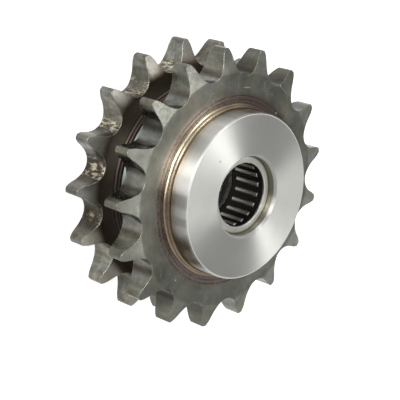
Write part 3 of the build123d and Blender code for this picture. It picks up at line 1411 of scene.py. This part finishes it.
@dataclass(frozen=True)
class ToothPlate:
    """One ring of teeth: a turned blank with relieved sides, cut to the tooth's outline.

    The bore's rings and the crease's rings are the circles of points on a face, in mm from the bore's
    radius and from the radius where the relief starts. The wall's shares are the heights of the rows on
    a flank, as shares of the flank's half height there.
    """

    side: Side
    tooth: ChainTooth
    bore_radius: float = 33.2 * MM
    relief_height: float = 9.5 * MM
    relief_depth: float = 2.2 * MM
    relief_softness: float = 0.25 * MM
    corner_radius: float = 0.22 * MM
    corner_steps: int = 5
    points_per_tooth: int = 80
    outline_softness: float = 0.22 * MM
    bore_rings: tuple[float, ...] = (0.0, 0.3, 4.0, 8.0, 11.5, 13.2)
    crease_rings: tuple[float, ...] = (-0.3, 0.0, 0.3)
    wall_shares: tuple[float, ...] = (0.94, 0.4, 0.0, -0.4, -0.94)
    ring_gap: float = 0.03 * MM
    rim_gap: float = 0.1 * MM
    gullet_share: float = 0.5

    @property
    def node(self) -> str:
        """The CAD node's name."""
        return f"{self.side.value}_tooth_plate"

    @property
    def relief_start(self) -> float:
        """The radius where a face starts to fall away."""
        return self.tooth.tip_radius - self.relief_height

    def drop(self, radius: Array) -> Array:
        """How far a face has fallen away at a radius: nothing inside the relief and a cone outside it.

        The bend between the two is softened as softness x log(1 + exp(distance / softness)).

        Args:
            radius: The radii.

        Returns:
            The drops.
        """
        beyond = np.logaddexp(0, (radius - self.relief_start) / self.relief_softness) * self.relief_softness
        return beyond * self.relief_depth / self.relief_height

    def skin(self) -> Skin:
        """Carries the plate's section round the tooth outline.

        A row of the section lies on the outline moved inwards by some distance, or on a circle inside it,
        and at a height of the face less the drop at that row's own radius. Circles that would come
        outside the outline are held just inside it.

        Returns:
            The skin.
        """
        low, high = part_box(self.node)
        middle, half = (low.z + high.z) / 2, (high.z - low.z) / 2
        outline, length = self.tooth.outline(self.points_per_tooth, self.outline_softness)
        ahead = np.roll(outline, -1) - np.roll(outline, 1)
        inwards = 1j * ahead / np.abs(ahead)
        rim = outline + inwards * self.corner_radius
        reach, ray = np.abs(rim), rim / np.abs(rim)
        circles = np.array(self.bore_rings) * MM + self.bore_radius
        circles = np.append(circles, self.relief_start + np.array(self.crease_rings) * MM)
        hold = (len(circles) - np.arange(len(circles)) + 4) * self.ring_gap
        radii = np.minimum(circles[:, None], reach[None, :] - hold[:, None])
        last, inner_rim = radii[-1], reach - self.rim_gap
        outer = last + np.array([0.25, 0.5, 0.75])[:, None] * (inner_rim - last)
        radii = np.concatenate([radii, outer, inner_rim[None, :]])
        face = ray[None, :] * radii
        swing = np.linspace(0, math.pi / 2, self.corner_steps + 1)
        inset = self.corner_radius * (1 - np.sin(swing))
        fall = self.corner_radius * (1 - np.cos(swing))
        corner = outline[None, :] + inwards[None, :] * inset[:, None]
        front = np.concatenate([face, corner])
        sink = np.concatenate([np.zeros(len(face)), fall])
        height = half - self.drop(np.abs(front)) - sink[:, None]
        share = np.array(self.wall_shares)[:, None]
        wall = np.broadcast_to(outline, (len(share), len(outline)))
        rows = np.concatenate([front, wall, front[::-1]])
        heights = np.concatenate([height, share * height[-1], -height[::-1]])
        points = np.stack([rows.real, rows.imag, middle + heights], axis=-1)
        edge = np.concatenate([np.zeros(len(face)), np.sin(2 * swing) * 0.6 + 0.4])
        on_wall = np.concatenate([np.zeros(len(face)), np.sin(swing) ** 2])
        depth = (np.abs(outline) - self.tooth.root_radius) / (self.tooth.tip_radius - self.tooth.root_radius)
        traits = {
            Trait.EDGE: np.concatenate([edge, np.zeros(len(share)), edge[::-1]])[:, None],
            Trait.FLANK: np.concatenate([on_wall, np.ones(len(share)), on_wall[::-1]])[:, None],
            Trait.GULLET: np.clip(1 - depth / self.gullet_share, 0, 1)[None, :],
        }
        return Skin(self.node + "_skin", points, traits, (length, middle + heights))

    def build(self, material: bpy.types.Material) -> None:
        """Makes the plate in its material."""
        dress(self.skin().build(), material, Slot.PLATE, "sprocket", self.node)


@dataclass(frozen=True)
class TurnedHub:
    """The hub: a turned bar with a shoulder between the plates, bored through."""

    facets: int = 240
    rim_chamfer: float = 0.5 * MM
    lead_in: float = 1.0 * MM
    soft_edge: float = 0.08 * MM
    hub_radius: float = 33.15 * MM
    bore_radius: float = 15.875 * MM

    def build(self, material: bpy.types.Material) -> None:
        """Turns the hub's section round the shaft.

        Args:
            material: The hub's steel.
        """
        low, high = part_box("hub")
        plate_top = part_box("rear_tooth_plate")[1].z
        front_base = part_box("front_tooth_plate")[0].z
        shoulder, edge = high.x, self.soft_edge
        nose, rim, lead = high.z, self.rim_chamfer, self.lead_in
        corners = [
            (self.bore_radius, low.z + lead, edge),
            (self.bore_radius + lead, low.z, edge),
            (self.hub_radius - rim, low.z, edge),
            (self.hub_radius, low.z + rim, edge),
            (self.hub_radius, plate_top, edge),
            (shoulder, plate_top, edge),
            (shoulder, front_base, edge),
            (self.hub_radius, front_base, edge),
            (self.hub_radius, nose - rim, edge),
            (self.hub_radius - rim, nose, edge),
            (self.bore_radius + lead, nose, edge),
            (self.bore_radius, nose - lead, edge),
        ]
        piece = turned_skin("turned_hub", corners, self.facets).build()
        dress(piece, material, Slot.HUB, "sprocket", "hub")


@dataclass(frozen=True)
class WeldBead:
    """A bead in the corner between a plate's front face and the hub: two low crests and a hollow."""

    side: Side
    corner_radius: float
    corner_height: float
    leg: float = 2.0 * MM
    crown: float = 0.28 * MM
    hollow: float = 0.16 * MM
    ripple_depth: float = 0.007 * MM
    ripple_lean: float = 2.5
    ripples: int = 230
    wander: float = 0.012
    waves: tuple[int, int] = (2, 14)
    rows: int = 22
    facets: int = 920
    seed: int = 3

    @property
    def node(self) -> str:
        """The CAD node's name."""
        return f"{self.side.value}_weld_bead"

    def build(self, material: bpy.types.Material) -> None:
        """Carries the bead's section round the corner.

        Across the bead, at a share t from the plate to the hub, the skin stands above the straight line
        from toe to toe by crown x sin(pi t) less hollow x sin(pi t)^6, with ripples that lean with t. The
        bead's width wanders slowly: a few waves round the part, each of a random strength and start.

        Args:
            material: The bead's steel.
        """
        share = np.linspace(0, 1, self.rows)[:, None]
        angle = even_angles(self.facets)[None, :]
        random = np.random.default_rng(self.seed)
        waves = np.arange(*self.waves)[:, None]
        strength = random.normal(size=waves.shape)
        swell = (strength * np.cos(waves * angle + random.uniform(0, 6, waves.shape))).sum(0)
        leg = self.leg * (1 + self.wander * swell)[None, :]
        arch = np.sin(math.pi * share)
        ripple = self.ripple_depth * arch * np.cos(self.ripples * angle + self.ripple_lean * share)
        rise = self.crown * arch - self.hollow * arch**6 + ripple
        diagonal = math.sqrt(0.5)
        radius = self.corner_radius + leg * (1 - share) + rise * diagonal
        height = self.corner_height + leg * share + rise * diagonal
        root = np.ones_like(angle)
        radius = np.concatenate([radius, root * self.corner_radius])
        height = np.concatenate([height, root * self.corner_height])
        crest = np.append(np.abs(np.sin(2 * math.pi * share[:, 0])) ** 1.5, 0.0)
        points = ring_points(radius, angle, height)
        skin = Skin(self.node + "_skin", points, {Trait.CREST: crest[:, None]})
        dress(skin.build(), material, Slot.WELD, "sprocket", self.node)


@dataclass(frozen=True)
class NeedleBearing:
    """One drawn-cup bearing: a cup with a lip at each end, a dark cage and its needles."""

    side: Side
    needles: int = 20
    needle_radius: float = 1.19 * MM
    needle_facets: int = 40
    end_radius: float = 0.35 * MM
    lip_radius: float = 12.85 * MM
    race_radius: float = 15.15 * MM
    lip_thickness: float = 0.9 * MM
    drawn_radius: float = 1.0 * MM
    seam_radius: float = 0.4 * MM
    lip_edge: float = 0.25 * MM
    race_edge: float = 0.3 * MM
    facets: int = 160

    def build_cup(self, material: bpy.types.Material) -> None:
        """Turns the cup, whose outer end has the large radius that drawing leaves.

        Args:
            material: The cup's steel.
        """
        node = f"{self.side.value}_bearing_cup"
        low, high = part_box(node)
        bottom, top = self.seam_radius, self.drawn_radius
        if self.side is Side.REAR:
            bottom, top = top, bottom
        lip, inner = self.lip_edge, self.race_edge
        corners = [
            (self.lip_radius, low.z, lip),
            (high.x, low.z, bottom),
            (high.x, high.z, top),
            (self.lip_radius, high.z, lip),
            (self.lip_radius, high.z - self.lip_thickness, lip),
            (self.race_radius, high.z - self.lip_thickness, inner),
            (self.race_radius, low.z + self.lip_thickness, inner),
            (self.lip_radius, low.z + self.lip_thickness, lip),
        ]
        piece = turned_skin(node + "_skin", corners, self.facets).build()
        dress(piece, material, Slot.CUP, "sprocket", node)

    def build_needles(self, material: bpy.types.Material) -> None:
        """Makes the needles, each on its own body.

        A needle is a barrel whose ends are rounded by a quarter circle, carried round its own axis and
        closed at each end by a point.

        Args:
            material: The needles' steel.
        """
        low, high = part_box(f"{self.side.value}_needle_01")
        swing = np.linspace(0, math.pi / 2, 6)
        end = self.end_radius
        ring = self.needle_radius - end + end * np.sin(swing)
        drop = end * (1 - np.cos(swing))
        radius = np.concatenate([ring, ring[::-1]])
        height = np.concatenate([high.z - drop, low.z + drop[::-1]])
        barrel = ring_points(radius[:, None], even_angles(self.needle_facets), height[:, None])
        edge = np.concatenate([np.sin(2 * swing), np.sin(2 * swing)[::-1]])
        for number in range(self.needles):
            node = f"{self.side.value}_needle_{number + 1:02d}"
            low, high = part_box(node)
            centre = (low + high) / 2
            self._spindle(node, barrel + [centre.x, centre.y, 0.0], edge, material)

    def _spindle(self, node: str, points: Array, edge: Array, material: bpy.types.Material) -> None:
        """Closes a barrel's two ends with a point each and makes it a piece.

        Args:
            node: The CAD node that it stands for.
            points: The barrel's rings, from the top down.
            edge: The share of edge in each ring.
            material: Its steel.
        """
        rings, count = points.shape[:2]
        quads = grid_faces(rings, count, rings - 1)[:, [0, 3, 2, 1]]
        top, bottom, last = rings * count, rings * count + 1, (rings - 1) * count
        around = np.arange(count)
        onward = (around + 1) % count
        cap = np.stack([np.full(count, top), around, onward], axis=-1)
        base = np.stack([np.full(count, bottom), last + onward, last + around], axis=-1)
        poles = np.stack([points[0].mean(axis=0), points[-1].mean(axis=0)])
        vertices = np.concatenate([points.reshape(-1, 3), poles])
        mesh = bpy.data.meshes.new(node + "_skin")
        mesh.from_pydata(vertices.tolist(), [], quads.tolist() + cap.tolist() + base.tolist())
        layer = mesh.attributes.new(Trait.EDGE.value, "FLOAT", "POINT")
        layer.data.foreach_set("value", np.append(np.repeat(edge, count), [0, 0]).astype(np.float32))
        dress(link_mesh(mesh), material, Slot.NEEDLE, node, node)

    def dress_cage(self, nodes: dict[str, bpy.types.Object], material: bpy.types.Material) -> None:
        """Gives the cage's CAD mesh its dark steel.

        Args:
            nodes: The CAD nodes by name.
            material: The cage's steel.
        """
        cage = nodes[f"{self.side.value}_cage"]
        cage.data.materials.clear()
        cage.data.materials.append(material)
        log.info("%s keeps its own mesh", cage.name)


# The studio


def direction(azimuth: float, elevation: float) -> Vector:
    """The way out to a place at an azimuth and an elevation, in radians, as a vector of length 1."""
    level = math.cos(elevation)
    return Vector((math.cos(azimuth) * level, math.sin(azimuth) * level, math.sin(elevation)))


@dataclass(frozen=True)
class PhotoCamera:
    """The photograph's camera: it looks down on the hub's nose from one side, and is rolled."""

    azimuth: float = math.radians(6.49)
    elevation: float = math.radians(42.50)
    roll: float = math.radians(108.46)
    lens: float = 123.5
    sensor: float = 36.0
    distance: float = 532.59 * MM
    aim_right: float = 18.5126 * MM
    aim_up: float = 1.2279 * MM

    def build(self) -> None:
        """Places the camera by the centre of the hub's front face.

        The azimuth is that of the camera's right side before the roll, and the way back lies a quarter
        turn behind it. The right and up directions turn about the way back by the roll. The camera stands
        so that the face's centre lies aim_right and aim_up of the picture's middle at the distance.
        """
        target = Vector((0, 0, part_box("hub")[1].z))
        back = direction(self.azimuth - math.pi / 2, self.elevation)
        level = direction(self.azimuth, 0.0)
        above = back.cross(level)
        right = level * math.cos(self.roll) + above * math.sin(self.roll)
        up = above * math.cos(self.roll) - level * math.sin(self.roll)
        data = bpy.data.cameras.new("photo_camera")
        data.lens = self.lens
        data.sensor_width = self.sensor
        data.clip_start = 10 * MM
        data.clip_end = 20.0
        camera = bpy.data.objects.new("photo_camera", data)
        bpy.context.scene.collection.objects.link(camera)
        place = Matrix((right, up, back)).transposed().to_4x4()
        place.translation = target - right * self.aim_right - up * self.aim_up + back * self.distance
        camera.matrix_world = place
        bpy.context.scene.camera = camera


@dataclass(frozen=True)
class SoftLamp:
    """A flat soft lamp that points at the part."""

    name: str
    azimuth: float
    elevation: float
    power: float
    wide: float
    tall: float
    distance: float = 0.9
    aim_height: float = 25 * MM

    def build(self) -> None:
        """Hangs the lamp at its azimuth and elevation, in degrees, seen from the part."""
        data = bpy.data.lights.new(self.name, "AREA")
        data.shape = "RECTANGLE"
        data.size = self.wide
        data.size_y = self.tall
        data.energy = self.power
        towards = direction(math.radians(self.azimuth), math.radians(self.elevation))
        lamp = bpy.data.objects.new(self.name, data)
        lamp.location = Vector((0, 0, self.aim_height)) + towards * self.distance
        lamp.rotation_euler = towards.to_track_quat("Z", "Y").to_euler()
        bpy.context.scene.collection.objects.link(lamp)


@dataclass(frozen=True)
class Studio:
    """A light table: a pale floor, a white backdrop round it, a dim ceiling and soft lamps."""

    floor_radius: float = 3.0
    floor_facets: int = 96
    floor_gap: float = 0.2 * MM
    floor_colour: Colour = (0.85, 0.85, 0.85)
    floor_glow: float = 0.60
    floor_glow_to_camera: float = 0.80
    backdrop_top: float = 14.0
    backdrop_fade: float = 0.12
    ceiling: float = 0.33
    lamps: tuple[SoftLamp, ...] = (
        SoftLamp("lamp_low_left", 212.0, 11.0, 1.3, 0.30, 0.28),
        SoftLamp("lamp_left", 255.0, 30.0, 1.0, 0.24, 0.24),
        SoftLamp("lamp_front", 270.0, 13.0, 3.0, 0.24, 0.26),
        SoftLamp("lamp_front_right", 289.0, 10.0, 1.2, 0.16, 0.28),
        SoftLamp("lamp_back", 75.0, 64.0, 0.8, 0.36, 0.24),
        SoftLamp("lamp_back_left", 137.0, 64.0, 1.8, 0.38, 0.24),
    )

    def build(self) -> None:
        """Builds the world, the floor and the lamps."""
        bpy.context.scene.view_settings.view_transform = "Standard"
        self._world()
        self._floor()
        for lamp in self.lamps:
            lamp.build()

    def _seen(self, graph: Graph) -> Socket:
        """Tells the rays that look at the background from those that carry light.

        Args:
            graph: The material's or world's nodes.

        Returns:
            1 for camera, glossy and transmission rays, 0 for the rest.
        """
        path = graph.node("LightPath")
        looks = graph.math("MAXIMUM", path.outputs["Is Camera Ray"], path.outputs["Is Glossy Ray"])
        return graph.math("MAXIMUM", looks, path.outputs["Is Transmission Ray"])

    def _world(self) -> None:
        """A white backdrop up to a height over the horizon and a dim ceiling above it."""
        world = bpy.data.worlds.new("white_backdrop")
        world.use_nodes = True
        bpy.context.scene.world = world
        graph = Graph(world.node_tree)
        height = graph.split(graph.node("TexCoord").outputs["Generated"])[2]
        top = math.sin(math.radians(self.backdrop_top))
        below = graph.remap(height, top, top + self.backdrop_fade, 1.0, 0.0)
        lit = graph.times(self._seen(graph), below)
        sky = graph.node("Background")
        sky.inputs["Color"].default_value = (1, 1, 1, 1)
        graph.put(graph.math("MULTIPLY_ADD", lit, 1.0 - self.ceiling, self.ceiling), sky.inputs["Strength"])
        graph.put(sky.outputs[0], graph.node("OutputWorld").inputs["Surface"])

    def _floor(self) -> None:
        """A pale disc just under the rear face, which glows for the rays that look at it."""
        ring = ring_points(self.floor_radius, even_angles(self.floor_facets), -self.floor_gap)
        mesh = bpy.data.meshes.new("floor")
        mesh.from_pydata(ring.tolist(), [], [list(range(self.floor_facets))])
        floor = link_mesh(mesh)
        material = bpy.data.materials.new("pale_floor")
        material.use_nodes = True
        graph = Graph(material.node_tree)
        matt = graph.node("BsdfDiffuse")
        graph.put(self.floor_colour, matt.inputs["Color"])
        glow = graph.node("Emission")
        glow.inputs["Color"].default_value = (1, 1, 1, 1)
        camera_ray = graph.node("LightPath").outputs["Is Camera Ray"]
        to_camera = graph.times(camera_ray, self.floor_glow_to_camera - self.floor_glow)
        strength = graph.math("MULTIPLY_ADD", self._seen(graph), self.floor_glow, to_camera)
        graph.put(strength, glow.inputs["Strength"])
        both = graph.node("AddShader")
        graph.put(matt.outputs[0], both.inputs[0])
        graph.put(glow.outputs[0], both.inputs[1])
        graph.put(both.outputs[0], graph.node("OutputMaterial").inputs["Surface"])
        mesh.materials.append(material)


# The whole sprocket


def plate_steels(effects: Effects) -> dict[Side, bpy.types.Material]:
    """Makes the two plates' steels, of which the rear one is paler and rougher where it is cut.

    Args:
        effects: The shared effects.

    Returns:
        The material of each side's plate.
    """
    front = PlateSteel(
        "front_plate_steel",
        (0.166, 0.169, 0.144),
        roughness=0.39,
        streak=0.42,
        # Painted shade on the flanks at these sides.
        flank_shade_marks=(ArcMask(172, 42, 0.9), ArcMask(4, 30, 0.65), ArcMask(254, 12, 0.3)),
    )
    rear = replace(
        front,
        name="rear_plate_steel",
        relief_colour=(0.36, 0.35, 0.315),
        flank_colour=(0.20, 0.20, 0.178),
        gullet_shade_colour=(0.19, 0.184, 0.155),
        seat=0.0,
        cut_roughness=0.27,
        streaks=0.11,
        blotches=0.17,
        chips=1.0,
        # Painted shade on the flanks at these sides.
        flank_shade_marks=(
            ArcMask(301, 24, 0.95),
            ArcMask(276, 14, 0.9),
            ArcMask(233, 10, 0.5),
            ArcMask(193, 15, 0.55),
            ArcMask(2, 26, 0.55),
        ),
    )
    return {Side.FRONT: front.build(effects), Side.REAR: rear.build(effects)}


def hub_steel(effects: Effects, hub: TurnedHub, front_face: float) -> bpy.types.Material:
    """Makes the hub's steel, with painted shade in the bore and on the barrel, its blued shoulder and a
    painted highlight on its rim.

    Args:
        effects: The shared effects.
        hub: The hub.
        front_face: The height of the front plate's face, where the weld lies.

    Returns:
        The material.
    """
    return TurnedSteel(
        "hub_steel",
        (0.65, 0.65, 0.615),
        roughness=0.40,
        streak=0.93,
        weld_height=front_face,
        bore_radius=hub.bore_radius + 0.1 * MM,
        shoulder_radius=hub.hub_radius + 1 * MM,
        barrel_radius=hub.hub_radius - 0.5 * MM,
        rim_highlight_reach=hub.hub_radius + 2.0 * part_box("hub")[1].z - hub.rim_chamfer,
        # Painted shade on the barrel, standing in for dark reflections.
        barrel_shade_marks=(
            ArcMask(192, 28, 1.0),
            ArcMask(219, 7, 0.4),
            ArcMask(240, 6, 0.25),
            ArcMask(294, 6, 0.4),
            ArcMask(308, 4, 0.3),
            ArcMask(333, 20, 1.0),
        ),
    ).build(effects)


def build_welds(effects: Effects, hub: TurnedHub, front_face: float) -> None:
    """Lays the two weld beads, one against the hub and one against its shoulder.

    Args:
        effects: The shared effects.
        hub: The hub.
        front_face: The height of the front plate's face.
    """
    rear_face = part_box("rear_tooth_plate")[1].z
    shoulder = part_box("hub")[1].x
    front_weld = WeldSteel(
        "front_weld_steel",
        (0.24, 0.17, 0.115),
        roughness=0.31,
        # Painted highlight on one side, painted shade on another.
        highlight_side=ArcMask(255, 42, 0.95),
        shaded_side=ArcMask(172, 40, 0.9),
        root_radius=hub.hub_radius,
    )
    # Near black: painted shade of the groove between the plates, partly dark weld oxide.
    rear_weld = WeldSteel(
        "rear_weld_steel",
        (0.035, 0.028, 0.025),
        roughness=0.35,
        crest_colour=(0.065, 0.050, 0.043),
    )
    WeldBead(Side.FRONT, hub.hub_radius, front_face, seed=3).build(front_weld.build(effects))
    WeldBead(Side.REAR, shoulder, rear_face, seed=4).build(rear_weld.build(effects))


def build_bearings(effects: Effects, nodes: dict[str, bpy.types.Object]) -> None:
    """Makes both bearings' cups and needles and dresses their cages.

    Args:
        effects: The shared effects.
        nodes: The CAD nodes by name.
    """
    cup_steel = BearingSteel(
        "cup_steel",
        (0.57, 0.58, 0.515),
        roughness=0.38,
        streak=0.3,
        # Near black: painted shade deep in the bore about the seam.
        seam_shade_colour=(0.018, 0.018, 0.016),
    ).build(effects)
    cage_steel = BearingSteel(
        "cage_steel",
        (0.035, 0.033, 0.03),
        roughness=0.45,
        wear_amount=0.0,
    ).build(effects)
    needle_steel = BearingSteel(
        "needle_steel",
        (0.60, 0.575, 0.52),
        roughness=0.38,
        grain_depth=0.001 * MM,
        contrast=0.04,
    ).build(effects)
    for side in Side:
        bearing = NeedleBearing(side)
        bearing.build_cup(cup_steel)
        bearing.build_needles(needle_steel)
        bearing.dress_cage(nodes, cage_steel)


def main() -> None:
    """Loads the frame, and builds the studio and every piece."""
    logging.basicConfig(level=logging.INFO, format="%(name)s: %(message)s")
    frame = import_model()
    PhotoCamera().build()
    Studio().build()
    effects = Effects()
    tooth = ChainTooth()
    hub = TurnedHub()
    front_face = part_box("front_tooth_plate")[1].z
    for side, plate_steel in plate_steels(effects).items():
        ToothPlate(side, tooth).build(plate_steel)
    hub.build(hub_steel(effects, hub, front_face))
    build_welds(effects, hub, front_face)
    build_bearings(effects, frame["nodes"])


if __name__ == "__main__":
    main()
